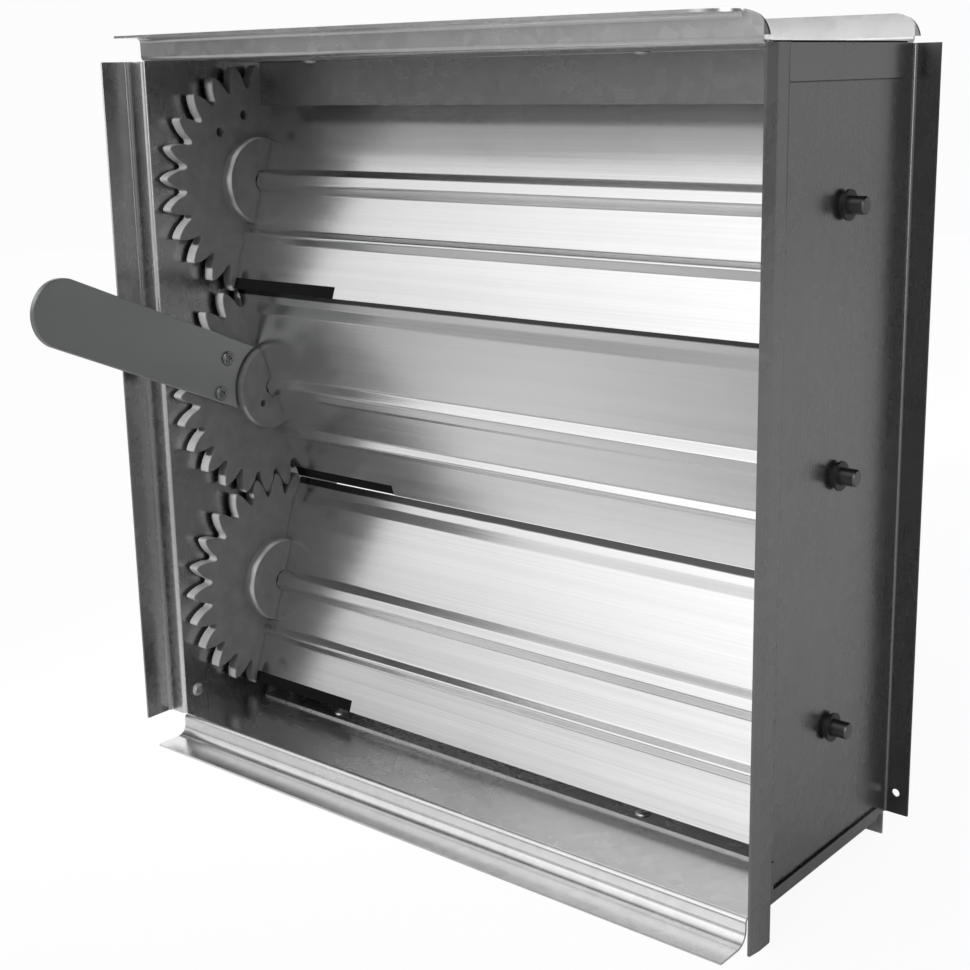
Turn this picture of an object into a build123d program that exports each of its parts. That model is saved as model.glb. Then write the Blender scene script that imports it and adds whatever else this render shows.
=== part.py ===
from build123d import *
import math
import os

os.makedirs("parts", exist_ok=True)

# Opposed-blade volume control damper. Frame: X across the duct, Y along the
# airflow (front to back), Z up. Origin: centre of the airway in the plane of the
# front step faces. All sizes in millimetres.

# ---- casing ----
opening_width = 380.0
opening_height = 375.0
casing_depth = 135.0        # front step face to the back of the rear flange
sheet = 1.2                 # galvanised sheet of the casing and the stops
step_width = 12.0           # how far the front step and the rear flange stand out
side_lip = 17.0             # length of the lip in front of the step
bottom_lip = 20.0
side_lip_overrun = 6.0      # the right-hand lip runs this far past the opening
lip_crimp = 1.0             # and its front edge is crimped inward by this much
lip_crimp_run = 6.5
bend_radius = 2.6           # airway-side radius of the casing's bends
soft_bend = 6.0             # bend between the bottom step and its lip
flange_corner_radius = 12.0
tab_height_top = 15.0       # end tabs folded over the side webs
tab_height_bottom = 6.0
tab_front = 4.0             # the tabs start this far behind the step faces
tab_rear = 12.0             # and stop this far before the rear flange
ear_width = 16.0            # taller ear of the bottom tab that takes the rivet
ear_height = 20.0
flange_hole_radius = 2.1
flange_hole_inset = 11.0    # from the opening's top and bottom edges

# ---- blades and axles ----
blade_edge_allowance = 7.5  # what the blade pitches leave over at the floor and the ceiling
axle_depth = 70.0           # axle line behind the front step faces
blade_sheet = 1.2
blade_lap = 7.4             # how far each blade laps the next one when closed
rest_opening = 20.0         # degrees that the blades stand open at rest
rod_radius = 4.0
rod_clearance = 0.1         # between rod and groove
rod_overhang = 10.5         # rod end beyond the side web
rod_flat_depth = 1.0        # drive flat in the gear bore
groove_half_width = 6.8     # half width of the axle groove where it leaves the sheet
groove_crown = 3.2          # half width of its flat crown
rib_offset = 32.0           # stiffening rib below the axle
rib_half_width = 4.2
rib_depth = 3.4
roll_radius = 1.8           # radius of the roll-formed bends
lap_gap = 1.2               # the set-back upper edge passes behind the next blade
lap_height = 8.4
lap_run = 6.0
notch_height = 6.5          # the lower edge is cut back beside the gears
notch_length = 80.0
boss_notch_gap = 1.0        # the blade's end is cut back around the gear's boss
blade_end_gap = 3.0         # to the right-hand web

# ---- bushes and washers ----
bush_radius = 5.5
bush_wall_gap = 0.05        # bush in web
bush_flange_radius = 8.0
bush_flange = 1.8
bush_snout = 1.6            # stands out beyond the web
running_gap = 0.05          # rod in bush
washer_thickness = 1.0
washer_end_float = 0.3      # washer to bush
washer_radius = 6.8
washer_grip_gap = 0.02

# ---- gears ----
gear_teeth = 24
pressure_angle = 27.0
backlash = 0.5
root_land = 1.2             # flat at the bottom of a tooth gap
tip_crown = 1.1             # height of the rounded tooth tip
gear_thickness = 6.8
gear_wall_gap = 2.2         # gear back to the left web
boss_radius = 25.0
boss_height = 6.0
boss_chamfer = 1.0
bore_mouth_radius = 5.6     # countersunk mouth of the bore
bore_mouth_depth = 3.0
boss_blade_gap = 0.3
lever_hole_circle = 38.0
lever_hole_spread = 15.5    # degrees each side of the pair's middle
screw_core_radius = 2.6     # hole in the gear that the screw cuts its thread in
pin_hole_radius = 2.0
pin_hole_circle = 12.5
pin_hole_depth = 4.0
tooth_angle = {"top": 10.7, "middle": 11.8, "bottom": 10.7}
hole_pair_tooth = {"top": 7, "middle": 10, "bottom": -3}

# ---- hand lever ----
lever_tilt = 23.4           # degrees above level at rest
lever_width = 37.0
lever_thickness = 3.0
lever_reach = 171.5         # axle to the tip
lever_boss_gap = 2.0
lever_edge_break = 0.4
screw_clearance = 0.3
screw_head_radius = 4.3
screw_head_height = 2.3
screw_fit = 0.05

# ---- stops and rivets ----
stop_leg = 25.0
stop_foot = 25.0
stop_gap = 0.4              # stop to the closed blade
stop_start = 18.0           # from the left web, clear of the gears
stop_end_gap = 1.0
stop_bend = 1.8
rivet_radius = 2.0
rivet_fit = 0.05
rivet_head_radius = 4.0
rivet_head_height = 1.6
rivet_edge = 0.9            # broken edge of the head and the tail
rivet_tail_radius = 2.9
rivet_tail_height = 2.4
stop_rivet_x = (-115.0, 98.0)
stop_rivet_inset = 7.5      # from the free edge of the stop's foot
corner_rivet_depth = 11.0
corner_rivet_rise = 12.0    # above the floor

# ---- worked out ----
half_width = opening_width / 2
half_height = opening_height / 2
web_outer = half_width + sheet
stop_front = {
    "top": axle_depth - stop_gap,
    "bottom": axle_depth + blade_sheet + stop_gap,
}
gear_back = -half_width + gear_wall_gap
gear_face = gear_back + gear_thickness
boss_face = gear_face + boss_height
blade_start = gear_face + boss_blade_gap
blade_end = half_width - blade_end_gap
rod_end = web_outer + rod_overhang
lever_face = gear_face + lever_thickness
blade_pitch = (opening_height - 2 * blade_edge_allowance) / 3
half_chord = (blade_pitch + blade_lap) / 2
gear_module = blade_pitch / gear_teeth      # 5 mm; neighbouring gears mesh at the blade pitch
groove_depth = rod_radius + rod_clearance + blade_sheet
lap_set_back = blade_sheet + lap_gap
axle_height = {"top": blade_pitch, "middle": 0.0, "bottom": -blade_pitch}
blade_tilt = {"top": -rest_opening, "middle": rest_opening, "bottom": -rest_opening}


def bent_sheet(plane, points, thickness, radius, side=Side.LEFT):
    """Section of a folded sheet, from the points along one of its faces."""
    with BuildSketch(plane) as section:
        with BuildLine():
            FilletPolyline(*points, radius=radius)
            offset(amount=thickness, side=side)
        make_face()
    return section.sketch


def folded_tab(plane, points, thickness, side=Side.LEFT):
    """Section of a tab folded sharply over an edge."""
    with BuildSketch(plane) as section:
        with BuildLine():
            Polyline(*points)
            offset(amount=thickness, side=side)
        make_face()
    return section.sketch


def across(x, axle, angle=0.0):
    """Plane square to an axle at x. Its x axis is +Y turned by angle about +X."""
    turn = math.radians(angle)
    return Plane(
        origin=(x, axle_depth, axle_height[axle]),
        x_dir=(0, math.cos(turn), math.sin(turn)),
        z_dir=(1, 0, 0),
    )


def finish(part, name):
    """Label the finished piece and write its STEP file."""
    part.label = name
    export_step(part, f"parts/{name}.step")
    print(f"{name}: {len(part.solids())} solid(s), {part.volume / 1000:.2f} cm3")


# ---- side channels: web, front step and lip, rear flange ----
flange_hole_z = half_height - flange_hole_inset
flange_middle = half_width + (step_width + sheet) / 2
for name, sign, overrun in (("left", -1, 0.0), ("right", 1, side_lip_overrun)):
    outward = Side.LEFT if sign > 0 else Side.RIGHT
    lip_face = sign * (half_width + step_width)
    lip_front = [(lip_face, -side_lip)]
    if overrun > 0:
        lip_front = [
            (lip_face, -side_lip + lip_crimp_run),
            (lip_face - sign * lip_crimp, -side_lip),
        ]
    whole_section = bent_sheet(
        Plane.XY.offset(-half_height),
        [
            (sign * (half_width + step_width + sheet), casing_depth),
            (sign * half_width, casing_depth),
            (sign * half_width, 0),
            (lip_face, 0),
            *lip_front,
        ],
        sheet,
        bend_radius,
        outward,
    )
    lip_section = bent_sheet(
        Plane.XY.offset(-half_height - overrun),
        [(sign * web_outer, 0), (lip_face, 0), *lip_front],
        sheet,
        bend_radius,
        outward,
    )
    with BuildPart() as channel:
        extrude(whole_section, amount=opening_height)
        if overrun > 0:
            extrude(lip_section, amount=overrun)
        # bearing holes, one for each axle, and holes for the corner rivets
        with BuildSketch(Plane.YZ.offset(sign * half_width - 2 * sheet)):
            with Locations(*[(axle_depth, z) for z in axle_height.values()]):
                Circle(bush_radius + bush_wall_gap)
            with Locations((corner_rivet_depth, -half_height + corner_rivet_rise)):
                Circle(rivet_radius + rivet_fit)
        extrude(amount=4 * sheet, mode=Mode.SUBTRACT)
        # hole low in the rear flange for a screw of the next duct piece
        with BuildSketch(Plane.XZ.offset(-casing_depth - sheet)):
            with Locations((sign * flange_middle, -flange_hole_z)):
                Circle(flange_hole_radius)
        extrude(amount=3 * sheet, mode=Mode.SUBTRACT)
    finish(channel.part, f"{name}_side_channel")

# ---- top and bottom channels, with their end tabs ----
lip_end = half_width - 9.0                  # the top lip stops short on the right
lip_rounding = 14.0
corner_top = half_height + step_width + sheet
corner_foot = half_height + bend_radius + 0.4
corner_turn = math.degrees(
    math.asin((corner_foot - corner_top + flange_corner_radius) / flange_corner_radius)
)
for name, up, lip, tab_height in (
    ("top", 1, side_lip, tab_height_top),
    ("bottom", -1, bottom_lip, tab_height_bottom),
):
    flange_edge = up * (half_height + step_width)
    section = bent_sheet(
        Plane.YZ.offset(-half_width),
        [
            (casing_depth, flange_edge + up * sheet),
            (casing_depth, up * half_height),
            (0, up * half_height),
            (0, flange_edge),
            (-lip, flange_edge),
        ],
        sheet,
        (bend_radius, bend_radius, bend_radius if up > 0 else soft_bend),
        Side.RIGHT if up > 0 else Side.LEFT,
    )
    tabs = [
        folded_tab(
            Plane.XZ.offset(-tab_front),
            [
                (sign * (half_width - 2 * sheet), up * half_height),
                (sign * web_outer, up * half_height),
                (sign * web_outer, up * (half_height - tab_height)),
            ],
            sheet,
            Side.LEFT if sign * up > 0 else Side.RIGHT,
        )
        for sign in (-1, 1)
    ]
    foot_edge = stop_front[name] - stop_foot + (sheet if up < 0 else 0)
    with BuildPart() as channel:
        extrude(section, amount=opening_width)
        # tabs folded over both side webs
        for tab in tabs:
            extrude(tab, amount=-(casing_depth - tab_front - tab_rear))
        if up > 0:
            # the lip's right-hand corner is rounded in plan
            with BuildSketch(Plane.XY.offset(flange_edge)):
                with Locations((lip_end - lip_rounding, -lip)):
                    Rectangle(
                        lip_rounding + step_width, lip_rounding, align=(Align.MIN, Align.MIN)
                    )
                with Locations((lip_end - lip_rounding, -lip + lip_rounding)):
                    Circle(lip_rounding, mode=Mode.SUBTRACT)
            extrude(amount=sheet, mode=Mode.SUBTRACT)
            # right-hand ends of both flanges: flat, drawn out a little and rounded
            with BuildSketch(Plane.YZ.offset(lip_end)):
                with Locations((-side_lip - sheet, corner_foot)):
                    Rectangle(
                        casing_depth + side_lip + 2 * sheet,
                        2 * step_width,
                        align=(Align.MIN, Align.MIN),
                    )
            extrude(amount=2 * step_width, mode=Mode.SUBTRACT)
            for depth in (0, casing_depth - sheet):
                with BuildSketch(Plane.XZ.offset(-depth)):
                    with BuildLine():
                        corner = CenterArc(
                            (lip_end, corner_top - flange_corner_radius),
                            flange_corner_radius,
                            corner_turn,
                            90 - corner_turn,
                        )
                        Polyline(corner @ 1, (lip_end, corner_foot), corner @ 0)
                    make_face()
                extrude(amount=-sheet)
        if up < 0:
            for sign in (-1, 1):
                with BuildSketch(Plane.YZ.offset(sign * web_outer)):
                    with Locations((tab_front, -half_height)):
                        Rectangle(ear_width, ear_height, align=(Align.MIN, Align.MIN))
                extrude(amount=sign * sheet)
            # a rivet hole in each ear
            with BuildSketch(Plane.YZ.offset(-web_outer - 2 * sheet)):
                with Locations((corner_rivet_depth, -half_height + corner_rivet_rise)):
                    Circle(rivet_radius + rivet_fit)
            extrude(amount=2 * (web_outer + 2 * sheet), mode=Mode.SUBTRACT)
        # two rivet holes in the web for the stop
        with BuildSketch(Plane.XY.offset(up * half_height - 2 * sheet)):
            with Locations(*[(x, foot_edge + stop_rivet_inset) for x in stop_rivet_x]):
                Circle(rivet_radius + rivet_fit)
        extrude(amount=4 * sheet, mode=Mode.SUBTRACT)
    finish(channel.part, f"{name}_channel")

# ---- stops: an angle that each outer blade closes against ----
for name, up in (("top", 1), ("bottom", -1)):
    wall = up * half_height
    # the foot runs forward from the upright leg; the leg's blade side is stop_front
    back = stop_front[name] + (0 if up > 0 else sheet)
    section = bent_sheet(
        Plane.YZ.offset(-half_width + stop_start),
        [(back - stop_foot, wall), (back, wall), (back, wall - up * stop_leg)],
        sheet,
        stop_bend,
        Side.RIGHT if up > 0 else Side.LEFT,
    )
    with BuildPart() as stop:
        extrude(section, amount=opening_width - stop_start - stop_end_gap)
        with BuildSketch(Plane.XY.offset(wall - 2 * sheet)):
            with Locations(*[(x, back - stop_foot + stop_rivet_inset) for x in stop_rivet_x]):
                Circle(rivet_radius + rivet_fit)
        extrude(amount=4 * sheet, mode=Mode.SUBTRACT)
    finish(stop.part, f"{name}_blade_stop")


# ---- blind rivets: broad head, shank through the sheets, upset tail ----
def blind_rivet(grip):
    """A set rivet along +Z: the head stands above z = 0, the sheets below it."""
    tail_end = -grip - rivet_tail_height
    with BuildPart() as rivet:
        with BuildSketch(Plane.XZ):
            with BuildLine():
                Polyline(
                    (0, rivet_head_height),
                    (rivet_head_radius - 1.6 * rivet_edge, rivet_head_height),
                    (rivet_head_radius, rivet_head_height - rivet_edge),
                    (rivet_head_radius, 0),
                    (rivet_radius, 0),
                    (rivet_radius, -grip),
                    (rivet_tail_radius, -grip),
                    (rivet_tail_radius - rivet_edge, tail_end),
                    (0, tail_end),
                    close=True,
                )
            make_face()
        revolve(axis=Axis.Z)
    return rivet.part


with BuildPart() as stop_rivets:
    for name, up in (("top", 1), ("bottom", -1)):
        edge = stop_front[name] + (0 if up > 0 else sheet) - stop_foot
        for x in stop_rivet_x:
            seat = Plane(
                origin=(x, edge + stop_rivet_inset, up * (half_height - sheet)),
                x_dir=(1, 0, 0),
                z_dir=(0, 0, -up),
            )
            with Locations(seat):
                add(blind_rivet(2 * sheet))
finish(stop_rivets.part, "stop_rivets")

with BuildPart() as corner_rivets:
    for sign in (-1, 1):
        seat = Plane(
            origin=(sign * half_width, corner_rivet_depth, -half_height + corner_rivet_rise),
            x_dir=(0, 1, 0),
            z_dir=(-sign, 0, 0),
        )
        with Locations(seat):
            add(blind_rivet(2 * sheet))
finish(corner_rivets.part, "corner_rivets")

# ---- flanged bushes, one in each bearing hole ----
for name, sign in (("left", -1), ("right", 1)):
    with BuildPart() as bushes:
        for axle in axle_height:
            seat = Plane(
                origin=(sign * half_width, axle_depth, axle_height[axle]),
                x_dir=(0, 1, 0),
                z_dir=(sign, 0, 0),
            )
            with BuildSketch(seat.offset(-bush_flange)):
                Circle(bush_flange_radius)
            extrude(amount=bush_flange)
            with BuildSketch(seat):
                Circle(bush_radius)
            extrude(amount=sheet + bush_snout)
            with BuildSketch(seat.offset(-bush_flange)):
                Circle(rod_radius + running_gap)
            extrude(amount=bush_flange + sheet + bush_snout, mode=Mode.SUBTRACT)
    finish(bushes.part, f"{name}_bushes")

# ---- blades: one roll-formed section, cut back beside the gears and their bosses ----
blade_path = [
    (lap_set_back, half_chord),
    (lap_set_back, half_chord - lap_height),
    (0, half_chord - lap_height - lap_run),
    (0, groove_half_width),
    (-groove_depth, groove_crown),
    (-groove_depth, -groove_crown),
    (0, -groove_half_width),
    (0, -rib_offset + rib_half_width),
    (-rib_depth, -rib_offset),
    (0, -rib_offset - rib_half_width),
    (0, -half_chord),
]
for name in axle_height:
    plane = across(blade_start, name, blade_tilt[name])
    section = bent_sheet(plane, blade_path, blade_sheet, roll_radius, Side.LEFT)
    with BuildPart() as blade:
        extrude(section, amount=blade_end - blade_start)
        with BuildSketch(plane):
            with Locations((0, -half_chord)):
                Rectangle(8 * blade_sheet, 2 * notch_height)
        extrude(amount=notch_length, mode=Mode.SUBTRACT)
        with BuildSketch(plane):
            Rectangle(4 * groove_depth, 2 * (boss_radius + boss_notch_gap))
        extrude(amount=boss_height, mode=Mode.SUBTRACT)
    finish(blade.part, f"blade_{name}")

# ---- axle rods, with a drive flat where the gear sits ----
for name in axle_height:
    flat_turn = tooth_angle[name] + hole_pair_tooth[name] * 360 / gear_teeth
    with BuildPart() as rod:
        with BuildSketch(across(-rod_end, name)):
            Circle(rod_radius)
        extrude(amount=2 * rod_end)
        chamfer(rod.edges().filter_by(GeomType.CIRCLE), length=0.6)
        with BuildSketch(across(-rod_end, name, flat_turn)):
            with Locations((rod_radius - rod_flat_depth, 0)):
                Rectangle(rod_radius, 2 * rod_radius, align=(Align.MIN, Align.CENTER))
        extrude(amount=boss_face + rod_end, mode=Mode.SUBTRACT)
    finish(rod.part, f"axle_rod_{name}")

# ---- retaining washers, pushed on both ends of each rod ----
for name in axle_height:
    with BuildPart() as washers:
        for sign in (-1, 1):
            seat = web_outer + bush_snout + washer_end_float
            with BuildSketch(across(sign * seat, name)):
                Circle(washer_radius)
                Circle(rod_radius + washer_grip_gap, mode=Mode.SUBTRACT)
            extrude(amount=sign * washer_thickness)
    finish(washers.part, f"retaining_washers_{name}")

# ---- gears: involute teeth with rounded tips, boss, drive bore, lever holes ----
pitch_radius = gear_module * gear_teeth / 2
base_radius = pitch_radius * math.cos(math.radians(pressure_angle))
tip_radius = pitch_radius + gear_module
root_radius = pitch_radius - 1.6 * gear_module
tooth_step = 360 / gear_teeth


def involute_angle(radius):
    """Polar angle in radians that an involute has swept at this radius."""
    if radius <= base_radius:
        return 0.0
    slope = math.sqrt((radius / base_radius) ** 2 - 1)
    return slope - math.atan(slope)


half_tooth = (math.pi * gear_module / 2 - backlash) / (2 * pitch_radius)
base_half_angle = half_tooth + involute_angle(pitch_radius)


def flank_point(radius, side):
    """Point of the tooth on +X's flank at this radius, above or below the axis."""
    angle = side * (base_half_angle - involute_angle(radius))
    return (radius * math.cos(angle), radius * math.sin(angle))


with BuildSketch() as tooth:
    flank_end = tip_radius - tip_crown
    foot_turn = math.pi / gear_teeth - root_land / (2 * root_radius)
    root_point = (root_radius * math.cos(foot_turn), root_radius * math.sin(foot_turn))
    crown_point = (tip_radius - 0.25 * tip_crown, 0.5 * flank_point(flank_end, 1)[1])
    with BuildLine():
        for side in (-1, 1):
            ThreePointArc(
                flank_point(base_radius, side),
                flank_point((base_radius + flank_end) / 2, side),
                flank_point(flank_end, side),
            )
            Polyline(
                flank_point(base_radius, side),
                (root_point[0], side * root_point[1]),
                (0.9 * root_radius, side * root_point[1]),
            )
        Line((0.9 * root_radius, -root_point[1]), (0.9 * root_radius, root_point[1]))
        Polyline(
            flank_point(flank_end, -1),
            (crown_point[0], -crown_point[1]),
            (tip_radius, 0),
            crown_point,
            flank_point(flank_end, 1),
        )
    make_face()

with BuildSketch() as gear_outline:
    Circle(root_radius)
    with PolarLocations(0, gear_teeth):
        add(tooth.sketch)

for name in axle_height:
    face = across(gear_back, name, tooth_angle[name])
    pair_turn = hole_pair_tooth[name] * tooth_step
    with BuildPart() as gear:
        with BuildSketch(face):
            add(gear_outline.sketch)
        extrude(amount=gear_thickness)
        with BuildSketch(face.offset(gear_thickness)):
            Circle(boss_radius)
        extrude(amount=boss_height)
        rims = gear.edges().filter_by(GeomType.CIRCLE).group_by(Axis.X)[-1]
        chamfer(rims, length=boss_chamfer)
        with BuildSketch(across(gear_back, name, tooth_angle[name] + pair_turn)):
            with BuildLine():
                flat = rod_radius + running_gap - rod_flat_depth
                half = math.sqrt((rod_radius + running_gap) ** 2 - flat**2)
                Line((flat, -half), (flat, half))
                ThreePointArc((flat, half), (-rod_radius - running_gap, 0), (flat, -half))
            make_face()
            with PolarLocations(lever_hole_circle, 2, -lever_hole_spread, 4 * lever_hole_spread):
                Circle(screw_core_radius)
        extrude(amount=gear_thickness + boss_height, mode=Mode.SUBTRACT)
        with BuildSketch(across(boss_face - bore_mouth_depth, name)):
            Circle(bore_mouth_radius)
        extrude(amount=bore_mouth_depth, mode=Mode.SUBTRACT)
        if name == "middle":
            with BuildSketch(across(boss_face, name)):
                with Locations((-pin_hole_circle * 0.7, -pin_hole_circle * 0.714)):
                    Circle(pin_hole_radius)
            extrude(amount=-pin_hole_depth, mode=Mode.SUBTRACT)
    finish(gear.part, f"gear_{name}")

# ---- hand lever on the middle gear ----
pair_angle = tooth_angle["middle"] + hole_pair_tooth["middle"] * tooth_step
lever_hole_angles = [pair_angle + side * lever_hole_spread for side in (-1, 1)]
tip_centre = lever_reach - lever_width / 2
lever_plane = across(gear_face, "middle", 180 - lever_tilt)
with BuildPart() as lever:
    with BuildSketch(lever_plane):
        Rectangle(tip_centre, lever_width, align=(Align.MIN, Align.CENTER))
        with Locations((tip_centre, 0)):
            Circle(lever_width / 2)
        Circle(boss_radius + lever_boss_gap, mode=Mode.SUBTRACT)
    extrude(amount=lever_thickness)
    chamfer(lever.edges().group_by(Axis.X)[-1], length=lever_edge_break)
    with BuildSketch(across(gear_face, "middle")):
        for angle in lever_hole_angles:
            with Locations(Vector(lever_hole_circle, 0).rotate(Axis.Z, angle)):
                Circle(screw_core_radius + screw_clearance)
    extrude(amount=lever_thickness, mode=Mode.SUBTRACT)
finish(lever.part, "hand_lever")

with BuildPart() as lever_screws:
    for angle in lever_hole_angles:
        centre = Vector(lever_hole_circle, 0).rotate(Axis.Z, angle)
        with BuildSketch(across(gear_back, "middle")):
            with Locations(centre):
                Circle(screw_core_radius - screw_fit)
        extrude(amount=gear_thickness + lever_thickness)
        with BuildSketch(across(lever_face, "middle")):
            with Locations(centre):
                Circle(screw_head_radius)
        head = extrude(amount=screw_head_height)
        chamfer(head.edges().filter_by(GeomType.CIRCLE).sort_by(Axis.X)[-1], length=0.8)
        with BuildSketch(across(lever_face + screw_head_height, "middle")):
            with Locations(centre):
                Rectangle(4.4, 0.9)
                Rectangle(0.9, 4.4)
        extrude(amount=-1.3, mode=Mode.SUBTRACT)
finish(lever_screws.part, "lever_screws")
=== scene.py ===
# %% [markdown]
# # A volume control damper, dressed for its picture
#
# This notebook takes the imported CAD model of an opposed-blade damper as a fixed
# frame and gives it the looks of the real thing: galvanised sheet, roll-formed
# blades, moulded gears and a plain steel hand lever. Nothing of the frame is moved.
# Each step says what the piece is, how it could be made, and why it is made this way.

import itertools
import math

import bmesh
import bpy
from mathutils import Matrix, Vector


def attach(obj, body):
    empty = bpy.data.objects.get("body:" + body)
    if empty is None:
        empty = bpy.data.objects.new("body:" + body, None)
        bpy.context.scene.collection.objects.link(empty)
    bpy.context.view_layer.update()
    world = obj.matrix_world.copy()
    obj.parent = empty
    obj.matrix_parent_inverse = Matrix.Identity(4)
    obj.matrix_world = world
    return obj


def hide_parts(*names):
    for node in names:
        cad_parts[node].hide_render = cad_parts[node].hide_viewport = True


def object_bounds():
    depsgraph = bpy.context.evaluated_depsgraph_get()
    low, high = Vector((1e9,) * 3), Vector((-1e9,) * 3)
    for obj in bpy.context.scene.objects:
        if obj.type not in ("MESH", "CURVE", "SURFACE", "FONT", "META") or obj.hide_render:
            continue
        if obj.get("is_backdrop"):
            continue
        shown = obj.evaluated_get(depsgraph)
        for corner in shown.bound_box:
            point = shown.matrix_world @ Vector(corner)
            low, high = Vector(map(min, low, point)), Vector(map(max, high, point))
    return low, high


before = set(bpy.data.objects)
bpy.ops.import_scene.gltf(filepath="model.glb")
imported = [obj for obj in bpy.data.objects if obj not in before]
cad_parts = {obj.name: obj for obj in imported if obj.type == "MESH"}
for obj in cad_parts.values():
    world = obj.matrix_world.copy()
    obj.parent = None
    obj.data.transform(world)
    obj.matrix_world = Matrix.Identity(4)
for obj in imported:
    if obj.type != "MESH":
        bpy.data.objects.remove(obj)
cad_low, cad_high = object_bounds()
print("CAD box in mm:", [round(1000 * (b - a), 1) for a, b in zip(cad_low, cad_high)])

# %% [markdown]
# ## Shader maths written as Python
#
# A material is a graph of nodes. Wiring each Math node by hand hides the idea, so
# one small class wraps an output socket and lets `+`, `-`, `*` and `/` add the
# Math nodes. A second class holds the node tree and adds every other node.


# %% A wire is one output socket, and arithmetic on wires adds Math nodes
class Wire:
    def __init__(self, shader, socket):
        self.shader = shader
        self.socket = socket

    def math(self, operation, first, second=None):
        settings = {"operation": operation}
        return self.shader.add("ShaderNodeMath", settings, {0: first, 1: second})

    def size(self):
        """The value without its sign."""
        return self.math("ABSOLUTE", self)

    def __add__(self, other):
        return self.math("ADD", self, other)

    def __sub__(self, other):
        return self.math("SUBTRACT", self, other)

    def __mul__(self, other):
        return self.math("MULTIPLY", self, other)

    def __truediv__(self, other):
        return self.math("DIVIDE", self, other)

    def __rsub__(self, other):
        return self.math("SUBTRACT", other, self)

    __radd__ = __add__

    def other(self, name):
        """Another output of the same node."""
        return Wire(self.shader, self.socket.node.outputs[name])


# %% The shader holds one material's (or the world's) nodes
class Shader:
    def __init__(self, tree):
        self.tree = tree
        tree.nodes.clear()

    def put(self, socket, value):
        """Link a wire to an input socket, or set the socket to a plain value."""
        if isinstance(value, Wire):
            self.tree.links.new(value.socket, socket)
        elif value is not None:
            if isinstance(value, tuple) and len(value) == 3 and socket.type == "RGBA":
                value = (*value, 1.0)
            socket.default_value = value

    def add(self, kind, settings=None, values=None, out=0):
        """Add a node: its settings first, then its inputs. Gives one output as a wire."""
        node = self.tree.nodes.new(kind)
        for name, value in (settings or {}).items():
            if name == "stops":
                for place, (position, level) in enumerate(value):
                    stops = node.color_ramp.elements
                    stop = stops[place] if place < len(stops) else stops.new(position)
                    stop.position = position
                    stop.color = (level, level, level, 1)
            else:
                setattr(node, name, value)
        for name, value in (values or {}).items():
            self.put(node.inputs[name], value)
        return Wire(self, node.outputs[out]) if len(node.outputs) else None

    def mix(self, mask, first, second):
        """Blend two colours by a mask between 0 and 1."""
        settings = {"data_type": "RGBA", "clamp_factor": True}
        return self.add("ShaderNodeMix", settings, {0: mask, 6: first, 7: second}, 2)

    def range(self, value, low, high, to_low=0.0, to_high=1.0):
        """Map a value's range onto another one, held inside it."""
        values = {0: value, 1: low, 2: high, 3: to_low, 4: to_high}
        return self.add("ShaderNodeMapRange", {"clamp": True}, values)

    def place(self, scale=(1, 1, 1)):
        """Position on the piece in metres, stretched by a scale."""
        where = self.add("ShaderNodeTexCoord", out="Object")
        return self.add("ShaderNodeMapping", None, {"Vector": where, "Scale": scale})

    def parts(self):
        """The same position as single numbers: X, with Y and Z as its other outputs."""
        return self.add("ShaderNodeSeparateXYZ", None, {0: self.place()})

    def noise(self, where, scale, detail=2.0, rough=0.5):
        values = {"Vector": where, "Scale": scale, "Detail": detail, "Roughness": rough}
        return self.add("ShaderNodeTexNoise", None, values)

    def cells(self, where, scale):
        values = {"Vector": where, "Scale": scale}
        return self.add("ShaderNodeTexVoronoi", None, values, "Color")

    def bump(self, height, depth_m, strength=1.0):
        values = {"Height": height, "Distance": depth_m, "Strength": strength}
        return self.add("ShaderNodeBump", None, values, "Normal")


def material(name):
    """A new node material and its shader."""
    made = bpy.data.materials.new(name)
    made.use_nodes = True
    return made, Shader(made.node_tree)


def surface(shader, **inputs):
    """Close a material with one Principled shader. Underscores stand for spaces."""
    values = {name.replace("_", " "): value for name, value in inputs.items()}
    body = shader.add("ShaderNodeBsdfPrincipled", None, values)
    shader.add("ShaderNodeOutputMaterial", None, {"Surface": body})


def paint(made, *nodes):
    """Give a material to CAD nodes, by name."""
    for name in nodes:
        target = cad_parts[name]
        for slot in target.material_slots:
            slot.material = made
        if not target.material_slots:
            target.data.materials.append(made)
    print(made.name, "->", ", ".join(nodes))


# %% [markdown]
# ## Galvanised sheet
#
# Zinc-coated sheet is a metal with three scales of detail: the zinc's crystals
# (spangle) a few millimetres across, fine lines along the rolling direction, and
# slow stains from handling. An image texture could hold them, but it would smear on
# the folds. Procedural noise sits in the solid, so it runs round every bend.
#
# Three marks of painted light and shade are laid over the sheet by place. The tabs folded
# over the side webs are painted in the webs' darker tone, as painted shade. A painted shadow
# lies in the joint under the upper tab, and the rear flange is painted dark, as painted
# shade.
# The front step of the left channel has a painted highlight, and it leans a little, as a
# rolled edge is never quite square.


# %% One recipe for all zinc sheet
# near-black of the painted shade on the casing and the blades
PAINTED_SHADE = (0.03, 0.03, 0.03)
TAB_DEPTHS = (0.0040, 0.1212)  # where the tab starts and ends behind the front steps
FLANGE_FRONT = 0.1335
STEP_EDGE = -0.2006  # the left step ends here, and the lip begins
# lighter tone of the painted highlight on the left step
STEP_HIGHLIGHT_TONE = 0.85


def shades(tone, dark=0.8, light=1.18):
    """A darker and a lighter version of a grey."""
    return (tone * dark,) * 3, (min(tone * light, 1.0),) * 3


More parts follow.
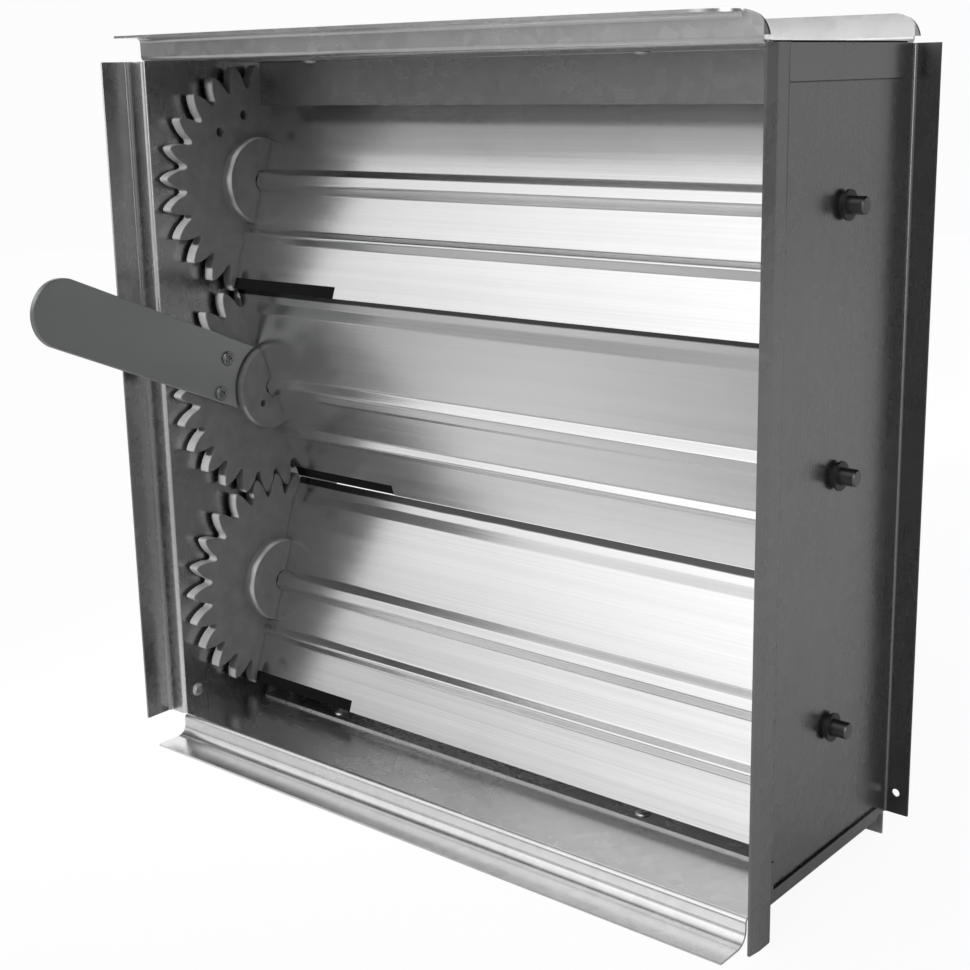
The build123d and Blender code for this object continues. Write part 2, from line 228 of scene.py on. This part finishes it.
def zinc_sheet(name, tone, gloss, stretch, tab_shade_tone=None, seam=None, lean=0.0):
    """Galvanised sheet; stretch makes the rolling lines long along one axis."""
    made, shader = material(name)
    crystals = shader.cells(shader.place(), 170.0)
    crystal = shader.add("ShaderNodeSeparateColor", None, {"Color": crystals})
    lines = shader.noise(shader.place(stretch), 1.0, 4.0, 0.7)
    cloud = shader.noise(shader.place(), 11.0, 4.0, 0.6)
    dents = shader.noise(shader.place(), 14.0, 1.0)
    level = (crystal - 0.5) * 0.08 + (lines - 0.5) * 0.10 + (cloud - 0.5) * 0.18
    mottle = level * 2 + 0.5
    colour = shader.mix(mottle, *shades(tone))
    height = lines * 0.006 + dents
    across = shader.parts()
    depth = across.other("Y")
    # painted shade: the folded tabs take the darker tone of the side webs
    if tab_shade_tone:
        on_tab = shader.range(across.size(), 0.1902, 0.1908)
        colour = shader.mix(on_tab, colour, shader.mix(mottle, *shades(tab_shade_tone)))
    if seam:
        in_seam = shader.range((across.other("Z") - seam).size(), 0.0003, 0.0008, 1, 0)
        start, stop = TAB_DEPTHS
        behind_start = shader.range(depth, start - 0.0002, start + 0.0002)
        before_end = shader.range(depth, stop - 0.0002, stop + 0.0002, 1, 0)
        on_flange = shader.range(depth, FLANGE_FRONT, FLANGE_FRONT + 0.0006)
        # painted shadow: a dark line along the joint under the upper tab
        colour = shader.mix(in_seam * behind_start * before_end * 0.8, colour, PAINTED_SHADE)
        # painted shade: the rear flange is darkened
        colour = shader.mix(on_flange * 0.9, colour, PAINTED_SHADE)
    if lean:
        # painted highlight: the left channel's front step gets a lighter tone; lean also
        # tilts the bump of the whole sheet
        inside = shader.range(across, STEP_EDGE - 0.0003, STEP_EDGE + 0.0003)
        on_step = inside * shader.range(depth, 0.0016, 0.0026, 1, 0)
        colour = shader.mix(on_step, colour, shader.mix(mottle, *shades(STEP_HIGHLIGHT_TONE)))
        height = height + across * lean
    wear = (0.5 - lines) * 0.07 + (crystal - 0.5) * 0.03 + (cloud - 0.5) * 0.12
    surface(
        shader,
        Base_Color=colour,
        Metallic=1.0,
        Roughness=wear + gloss,
        Normal=shader.bump(height, 0.0012, 0.3),
    )
    return made


# %% Casing and blade stops
TAB_PLANE = 0.1905  # the tabs lie outside this, on both sides
tab_foot = min(
    spot.co.z
    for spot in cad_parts["top_channel"].data.vertices
    if abs(spot.co.x) > TAB_PLANE and spot.co.z > 0.1
)
print("upper tab ends at", round(1000 * tab_foot, 1), "mm")
UPRIGHT, LEVEL = (400, 400, 6), (5, 420, 420)
# The same galvanised sheet gets a dark tone on the side webs and stops and a light one on
# the channels: painted shade and painted light for how light falls on each part.
SHADED_WEB_TONE = 0.335
right_finish = zinc_sheet("casing_zinc", SHADED_WEB_TONE, 0.28, UPRIGHT, seam=tab_foot)
left_finish = zinc_sheet("left_zinc", 0.36, 0.27, UPRIGHT, lean=1100.0)
wide_finish = zinc_sheet("channel_zinc", 0.82, 0.25, LEVEL, tab_shade_tone=SHADED_WEB_TONE)
stop_finish = zinc_sheet("stop_zinc", 0.41, 0.26, (5, 400, 400))
paint(right_finish, "right_side_channel")
paint(left_finish, "left_side_channel")
paint(wide_finish, "top_channel", "bottom_channel")
paint(stop_finish, "top_blade_stop", "bottom_blade_stop")


# %% [markdown]
# ## Roll-formed blade sheet
#
# The blades are bright sheet drawn through rolls, which leave long bright and dull
# lines along the blade and slow waves across it. The lines are noise stretched along
# X. A painted shadow darkens the set-back upper edge, under the lap of the next blade.
# To find that edge the recipe turns the position into the blade's own height above its
# axle, because the blades stand tilted by 20 degrees, every other one the other way.


# %% Blades
AXLE_DEPTH = 0.070
BLADE_TILT = math.radians(20)
BLADE_SINE, BLADE_COSINE = math.sin(BLADE_TILT), math.cos(BLADE_TILT)
EDGE_SHADE_START = 0.0592  # painted shade begins this high above the axle, in metres
BLADE_PITCH = 0.12


def rolled_sheet(name, tone, gloss, lean, axle):
    """Blade sheet; lean is 1 or -1 for the blade's tilt, axle is its height."""
    made, shader = material(name)
    fine = shader.noise(shader.place((3, 900, 900)), 1.0, 3.0, 0.7)
    wide = shader.noise(shader.place((1.6, 130, 130)), 1.0, 3.0, 0.6)
    cloud = shader.noise(shader.place((1, 2, 2)), 16.0, 4.0, 0.6)
    smear = shader.noise(shader.place((2, 26, 26)), 1.0, 2.0)
    level = (fine - 0.5) * 0.22 + (wide - 0.5) * 0.36 + (cloud - 0.5) * 0.28
    colour = shader.mix(level * 1.6 + 0.6, *shades(tone, 0.78, 1.1))
    place = shader.parts()
    rise = (place.other("Y") - AXLE_DEPTH) * (lean * BLADE_SINE)
    rise = rise + (place.other("Z") - axle) * BLADE_COSINE
    ragged = rise + (cloud - 0.5) * 0.0015
    # painted shadow on the set-back upper edge, under the lap of the next blade
    in_edge_shade = shader.range(ragged, EDGE_SHADE_START, EDGE_SHADE_START + 0.0008)
    wear = (0.5 - fine) * 0.07 + (wide - 0.5) * 0.08 + (cloud - 0.5) * 0.10
    surface(
        shader,
        Base_Color=shader.mix(in_edge_shade * 0.93, colour, PAINTED_SHADE),
        Metallic=1.0,
        Roughness=wear + gloss,
        Normal=shader.bump(fine * 0.3 + wide * 0.9 + smear * 6, 0.00012, 0.5),
    )
    return made


for name, tone, lean, row in (
    ("blade_top", 0.95, 1, 1),
    ("blade_middle", 0.97, -1, 0),
    ("blade_bottom", 0.86, 1, -1),
):
    paint(rolled_sheet(name + "_zinc", tone, 0.21, lean, row * BLADE_PITCH), name)


# %% [markdown]
# ## Small steel parts
#
# Rods are drawn bar, with fine scratches along their length. Washers are spring
# steel with a dull dark skin, and the zinc on the screws has darkened. The rivets are
# lighter, and the lever is plain plate. They share one recipe: a metal whose scratches
# run along one direction.


# %% Plain steel with scratches along one direction
def steel(name, tone, gloss, stretch, contrast=0.12):
    made, shader = material(name)
    scratches = shader.noise(shader.place(stretch), 1.0, 4.0, 0.65)
    cloud = shader.noise(shader.place(), 35.0, 3.0)
    level = (scratches - 0.5) * contrast + (cloud - 0.5) * contrast
    low = tuple(channel * 0.7 for channel in tone)
    high = tuple(min(channel * 1.25, 1.0) for channel in tone)
    surface(
        shader,
        Base_Color=shader.mix(level * 2 + 0.5, low, high),
        Metallic=1.0,
        Roughness=gloss + (scratches - 0.5) * 0.2,
        Normal=shader.bump(scratches, 0.00001, 0.5),
    )
    return made


rod_finish = steel("drawn_steel", (0.20, 0.20, 0.205), 0.3, (40, 1500, 1500))
washer_finish = steel("spring_steel", (0.10, 0.10, 0.105), 0.42, (900, 900, 900))
screw_finish = steel("bright_zinc", (0.26, 0.26, 0.265), 0.22, (700, 700, 700))
rivet_finish = steel("rivet_metal", (0.62, 0.62, 0.63), 0.32, (600, 600, 600))
lever_finish = steel("lever_steel", (0.375, 0.38, 0.385), 0.36, (120, 120, 120), 0.07)
paint(rod_finish, "axle_rod_top", "axle_rod_middle", "axle_rod_bottom")
paint(
    washer_finish,
    "retaining_washers_top",
    "retaining_washers_middle",
    "retaining_washers_bottom",
)
paint(screw_finish, "lever_screws")
paint(rivet_finish, "stop_rivets", "corner_rivets")
paint(lever_finish, "hand_lever")


# %% [markdown]
# ## Moulded nylon
#
# The gears are moulded in a grey nylon with a dry, slightly mottled skin. Plastic
# is not a metal, so its colour comes from the body of the material, with a weak
# gloss on top.


# %% Nylon recipe
def nylon(name, tone, gloss):
    made, shader = material(name)
    blotches = shader.noise(shader.place(), 110.0, 5.0, 0.62)
    grain = shader.noise(shader.place(), 900.0, 2.0)
    level = 0.5 + (blotches - 0.5) + (grain - 0.5) * 0.25
    low = tuple(channel * 0.62 for channel in tone)
    high = tuple(min(channel * 1.35, 1.0) for channel in tone)
    surface(
        shader,
        Base_Color=shader.mix(level, low, high),
        Metallic=0.0,
        Roughness=gloss + (blotches - 0.5) * 0.2,
        Normal=shader.bump(blotches * 0.6 + grain * 0.4, 0.00012, 0.5),
    )
    return made


gear_finish = nylon("gear_nylon", (0.20, 0.20, 0.203), 0.5)
bush_finish = nylon("bush_nylon", (0.05, 0.05, 0.052), 0.45)
paint(gear_finish, "gear_top", "gear_middle", "gear_bottom")
paint(bush_finish, "left_bushes", "right_bushes")

# %% [markdown]
# ## Rivets and screws turned to their real form
#
# The CAD model's rivets and screws have plain broken edges. The real ones are domed:
# a blind rivet has a low round head with the hole of its pulling mandrel, and the
# lever's screws have pan heads with a cross recess. A body of revolution is the
# natural way to build them. Each new piece takes its place from the CAD solid that it
# stands for, so nothing is typed in twice.


# %% Where a CAD node's separate solids lie
def solids_of(name):
    """The lowest and highest corner of each separate solid of a CAD node, in metres."""
    work = bmesh.new()
    work.from_mesh(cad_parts[name].data)
    work.transform(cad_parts[name].matrix_world)
    bmesh.ops.remove_doubles(work, verts=work.verts, dist=1e-6)
    left, found = set(work.verts), []
    while left:
        reached, edge = set(), [next(iter(left))]
        while edge:
            vert = edge.pop()
            if vert not in reached:
                reached.add(vert)
                edge += [link.other_vert(vert) for link in vert.link_edges]
        left -= reached
        low, high = (
            Vector([pick(vert.co[axis] for vert in reached) for axis in range(3)])
            for pick in (min, max)
        )
        found.append((low, high))
    work.free()
    return found


# %% A lathe: profiles of (height, radius) in millimetres, turned about an axis
def turned(work, spot, axis, profile, steps=48, press=None):
    """Add one turned body; press gives how deep the top is sunk at a place on it."""
    side = axis.orthogonal().normalized()
    cross = axis.cross(side)
    before = None
    for height, radius in profile:
        ring = []
        for step in range(steps if radius else 1):
            turn = math.tau * step / steps
            u, v = radius * math.cos(turn), radius * math.sin(turn)
            sunk = press(u, v, height) if press else 0.0
            offset = axis * (height - sunk) + side * u + cross * v
            ring.append(work.verts.new(spot + offset / 1000))
        if before:
            for step in range(steps):
                corners = [before[step % len(before)], before[(step + 1) % len(before)]]
                corners += [ring[(step + 1) % len(ring)], ring[step % len(ring)]]
                work.faces.new(dict.fromkeys(corners))
        before = ring


def piece(name, work, finish, body, stands_for):
    """Make an object of a finished bmesh, riding on its body in place of CAD nodes."""
    bmesh.ops.recalc_face_normals(work, faces=work.faces)
    mesh = bpy.data.meshes.new(name)
    work.to_mesh(mesh)
    work.free()
    mesh.shade_smooth()
    mesh.set_sharp_from_angle(angle=math.radians(40))
    mesh.materials.append(finish)
    made = bpy.data.objects.new(name, mesh)
    bpy.context.collection.objects.link(made)
    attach(made, body)
    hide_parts(stands_for)
    print(name, "has", len(mesh.polygons), "faces")


# %% Domed blind rivets with the hole of their mandrel
HEAD_HEIGHT = 1.6
HEAD = [(0.7, 0.0), (0.7, 0.9), (1.5, 1.05), (HEAD_HEIGHT, 1.5), (1.5, 2.2)]
HEAD += [(1.25, 3.0), (0.8, 3.7), (0.35, 3.98), (0.0, 3.9), (0.0, 2.0)]
TAIL = [(2.4, 2.0), (2.2, 2.5), (1.5, 2.88), (0.7, 2.7), (0.0, 1.9), (0.0, 0.0)]
for name, along in (("stop_rivets", 2), ("corner_rivets", 0)):
    work = bmesh.new()
    for low, high in solids_of(name):
        middle = (low + high) / 2
        axis = Vector((0, 0, 0))
        axis[along] = -math.copysign(1, middle[along])
        length = 1000 * (high - low)[along]
        seat = middle + axis * (length / 2 - HEAD_HEIGHT) / 1000
        end = length - HEAD_HEIGHT
        tail = [(height - end, radius) for height, radius in TAIL]
        turned(work, seat, axis, HEAD + tail)
    piece(name + "_domed", work, rivet_finish, "casing", name)


# %% Pan-head screws with a cross recess
def cross_recess(u, v, height):
    """Depth of the recess in mm: two crossed slots with sloping ends."""
    if height < 1.5:
        return 0.0
    arms = [
        max(0.0, 1 - (abs(across) / 0.62) ** 4) * max(0.0, 1 - (abs(along) / 2.5) ** 3)
        for across, along in ((u, v), (v, u))
    ]
    return 1.25 * max(arms)


PAN_HEIGHT, PAN_DROP, PAN_RADIUS = 2.3, 0.45, 3.3
SHANK_RADIUS = 2.5
radii = (0, 0.3, 0.6, 0.9, 1.3, 1.7, 2.1, 2.5, 2.9, PAN_RADIUS)
crown = [(PAN_HEIGHT - PAN_DROP * (radius / PAN_RADIUS) ** 2, radius) for radius in radii]
rim = [(1.45, 3.85), (0.95, 4.15), (0.45, 4.28), (0.1, 4.2), (0.0, 4.05)]
work = bmesh.new()
for low, high in solids_of("lever_screws"):
    middle = (low + high) / 2
    seat = Vector((high.x - PAN_HEIGHT / 1000, middle.y, middle.z))
    end = 1000 * (high.x - low.x) - PAN_HEIGHT
    shank = [(0.0, SHANK_RADIUS), (-end, SHANK_RADIUS), (-end, 0)]
    turned(work, seat, Vector((1, 0, 0)), crown + rim + shank, 72, cross_recess)
piece("lever_screws_domed", work, screw_finish, "middle_blade", "lever_screws")


# %% [markdown]
# ## Broken edges on the moulded gears
#
# A moulded tooth has no knife edge. Modelling the rounding in CAD would multiply the
# gear's faces, so a bevel modifier does it on the mesh, where only the light needs it.


# %% Broken edges on the moulded gears
def soften(width, segments, *nodes):
    """Round a CAD node's sharp edges with modifiers; its own mesh stays as it is."""
    for name in nodes:
        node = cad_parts[name]
        node.modifiers.new("weld", "WELD").merge_threshold = 1e-6
        bevel = node.modifiers.new("bevel", "BEVEL")
        bevel.width = width
        bevel.segments = segments
        bevel.limit_method = "ANGLE"
        bevel.angle_limit = math.radians(50)
        bevel.use_clamp_overlap = False
    print("softened:", ", ".join(nodes))


soften(0.0006, 2, "gear_top", "gear_middle", "gear_bottom")

# %% [markdown]
# ## Black strips of painted shade in the blade notches
#
# Beside the gears the lower edge of each blade is cut back, and from the front this
# shows as a black line and not as an open slot. A thin near-black strip put into the
# notch is painted shade: it stands where the slot lies in shade. Its place is measured
# on the blade's own mesh: the blade's two faces, its lowest edge, and the edge of the notch.

# %% Black strips of painted shade
STRIP_PLAY = 0.0003  # what the strip is thinner and lower than its place
# near-black strips in the notches are painted shade, not a part of the damper
shade_black, shader = material("painted_shade_black")
grain = shader.noise(shader.place(), 900.0, 3.0, 0.7)
surface(
    shader,
    Base_Color=shader.mix(grain, (0.001, 0.001, 0.001), (0.006, 0.006, 0.006)),
    Roughness=grain * 0.2 + 0.75,
    Specular_IOR_Level=0.08,
    Normal=shader.bump(grain, 0.0003, 0.5),
)
for name, body, lean in (
    ("blade_top", "top_blade", 1),
    ("blade_middle", "middle_blade", -1),
    ("blade_bottom", "bottom_blade", 1),
):
    spots = [spot.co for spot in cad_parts[name].data.vertices]
    rising = Vector((0, lean * BLADE_SINE, BLADE_COSINE))
    facing = Vector((0, -BLADE_COSINE, lean * BLADE_SINE))
    foot = min(spot.dot(rising) for spot in spots)
    edge = [spot for spot in spots if spot.dot(rising) < foot + 0.0001]
    notch_end = min(spot.x for spot in edge)
    beside = [spot for spot in spots if spot.x < notch_end - 0.001]
    top = min(spot.dot(rising) for spot in beside)
    start = min(spot.x for spot in beside)
    back, front = (pick(spot.dot(facing) for spot in edge) for pick in (min, max))
    work = bmesh.new()
    size = Vector((notch_end - start, front - back - STRIP_PLAY, top - foot - STRIP_PLAY))
    middle = Vector(((notch_end + start) / 2, (front + back) / 2, (top + foot) / 2))
    for x, y, z in itertools.product((-0.5, 0.5), repeat=3):
        corner = facing * (middle.y + size.y * y) + rising * (middle.z + size.z * z)
        corner.x = middle.x + size.x * x
        work.verts.new(corner)
    bmesh.ops.convex_hull(work, input=work.verts)
    bmesh.ops.dissolve_limit(work, angle_limit=0.01, verts=work.verts, edges=work.edges)
    bmesh.ops.bevel(work, geom=work.edges[:], offset=0.0002, segments=2, affect="EDGES")
    bmesh.ops.recalc_face_normals(work, faces=work.faces)
    mesh = bpy.data.meshes.new(name + "_foam")
    work.to_mesh(mesh)
    work.free()
    mesh.materials.append(shade_black)
    strip = bpy.data.objects.new(name + "_foam", mesh)
    bpy.context.collection.objects.link(strip)
    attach(strip, body)
    print(strip.name, [round(1000 * part, 2) for part in size], "mm")

# %% [markdown]
# ## Floor, backdrop and light
#
# The object stands on a pale sweep that the camera sees as white. Bare metal looks
# like what it mirrors, so the light is not a lamp but a room: four rings of soft
# panels, one above the other. The low rings are brightest at the right, at the left
# and behind on the left, the upper ones at the front. A few lamps would leave hard
# spots on the sheet. The camera itself sees plain white.
# Nylon mirrors little, so a narrow lamp from the front left picks out the gears'
# teeth; the metal doesn't mirror it.

# %% Floor
FLOOR_RADIUS = 3.0
floor_mesh = bpy.data.meshes.new("floor")
sheet = bmesh.new()
level = Matrix.Translation((0, 0, cad_low.z))
bmesh.ops.create_circle(sheet, cap_ends=True, segments=96, radius=FLOOR_RADIUS, matrix=level)
sheet.to_mesh(floor_mesh)
sheet.free()
floor = bpy.data.objects.new("floor", floor_mesh)
bpy.context.collection.objects.link(floor)
floor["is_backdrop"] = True
floor_paint, shader = material("floor_paint")
path = shader.add("ShaderNodeLightPath", out="Is Camera Ray")
matt = shader.add("ShaderNodeBsdfDiffuse", None, {"Color": (0.70, 0.70, 0.70)})
lit = shader.add("ShaderNodeEmission", None, {"Color": (1, 1, 1), "Strength": 1.06})
blend = shader.add("ShaderNodeMixShader", None, {0: path * 0.88, 1: matt, 2: lit})
shader.add("ShaderNodeOutputMaterial", None, {"Surface": blend})
floor_mesh.materials.append(floor_paint)
print("floor at", round(1000 * cad_low.z, 1), "mm")

# %% World: white for the camera, rings of soft panels for the metal
world = bpy.data.worlds.new("studio")
bpy.context.scene.world = world
world.use_nodes = True
shader = Shader(world.node_tree)
axes = shader.add("ShaderNodeSeparateXYZ", None, {0: shader.add("ShaderNodeTexCoord")}, 0)
height = axes.math("ARCSINE", axes.other("Z")) * (180 / math.pi)
turn = axes.math("ARCTAN2", axes.other("Y"), axes) / (2 * math.pi)
turn = axes.math("FRACT", turn)

# Each ring has the angles above the horizon where it fades in and out, and then the
# brightness of its panels every 30 degrees, from +X through +Y, -X and -Y back to +X
RING_TOP = 3.0
rings = {
    (-8, -4, 2, 14): (3.0, 0, 0.47, 0.07, 3.0, 1.90, 3.0, 0.03, 0.29, 0.83, 0.37, 0),
    (2, 14, 20, 34): (3.0, 0, 0, 0, 3.0, 0.98, 3.0, 0.40, 1.32, 1.45, 0, 0.39),
    (20, 34, 42, 58): (0, 0, 0, 0, 0, 0, 0.03, 0.97, 1.05, 2.2, 0.91, 0),
    (42, 58, 91, 92): (0, 0, 0, 0, 0, 0, 0, 0.64, 1.15, 1.80, 1.29, 0.64),
}
room = 0
for (start, full, leaving, gone), panels in rings.items():
    stops = [(step / 12, panels[step % 12] / RING_TOP) for step in range(13)]
    around = shader.add("ShaderNodeValToRGB", {"stops": stops}, {0: turn}) * RING_TOP
    lower = shader.range(height, start, full)
    upper = shader.range(height, leaving, gone, 1, 0)
    room = around * lower * upper + room
path = shader.add("ShaderNodeLightPath", out="Is Camera Ray")
BACKDROP = 0.975
seen = room * (1 - path) + path * BACKDROP
glow = shader.add("ShaderNodeBackground", None, {"Color": (1, 1, 1), "Strength": seen})
shader.add("ShaderNodeOutputWorld", None, {"Surface": glow})
print("rings of panels:", len(rings))

# %% A narrow lamp from the front for the gear teeth
beam = bpy.data.lights.new("gear_lamp", "SPOT")
beam.energy = 500.0
beam.spot_size = math.radians(11)
beam.spot_blend = 0.6
beam.shadow_soft_size = 0.12
lamp = bpy.data.objects.new("gear_lamp", beam)
bpy.context.collection.objects.link(lamp)
lamp.visible_glossy = False
lamp.location = (-0.5, -2.4, 0.9)
aim = Vector((-0.185, 0.02, 0.0)) - lamp.location
lamp.rotation_euler = aim.to_track_quat("-Z", "Y").to_euler()
print("gear lamp", beam.energy, "W")

# %% [markdown]
# ## Camera
#
# A product picture of this damper is taken from the front right, a little above its
# middle. The camera's place and turn are given as numbers: where it stands, how far
# it is turned to the left, how far it looks down, and a slight roll.

# %% Camera
camera_data = bpy.data.cameras.new("camera")
camera = bpy.data.objects.new("camera", camera_data)
bpy.context.collection.objects.link(camera)
bpy.context.scene.camera = camera
yaw, pitch, roll = 0.6980, 0.2288, -0.0202
level = Vector((-math.sin(yaw), math.cos(yaw), 0))
ahead = level * math.cos(pitch) - Vector((0, 0, math.sin(pitch)))
right = Vector((math.cos(yaw), math.sin(yaw), 0))
upward = right.cross(ahead)
across = right * math.cos(roll) + upward * math.sin(roll)
above = upward * math.cos(roll) - right * math.sin(roll)
camera.matrix_world = Matrix.Translation((0.51126, -0.55555, 0.17873)) @ Matrix(
    (
        (across.x, above.x, -ahead.x, 0),
        (across.y, above.y, -ahead.y, 0),
        (across.z, above.z, -ahead.z, 0),
        (0, 0, 0, 1),
    )
)
camera_data.sensor_width = 36.0
camera_data.lens = 58.79
camera_data.shift_x = 0.0008
camera_data.shift_y = -0.0459
camera_data.clip_start = 0.01
bpy.context.scene.view_settings.view_transform = "Standard"
print("lens", camera_data.lens, "mm")

# %% Sizes of the whole scene
low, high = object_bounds()
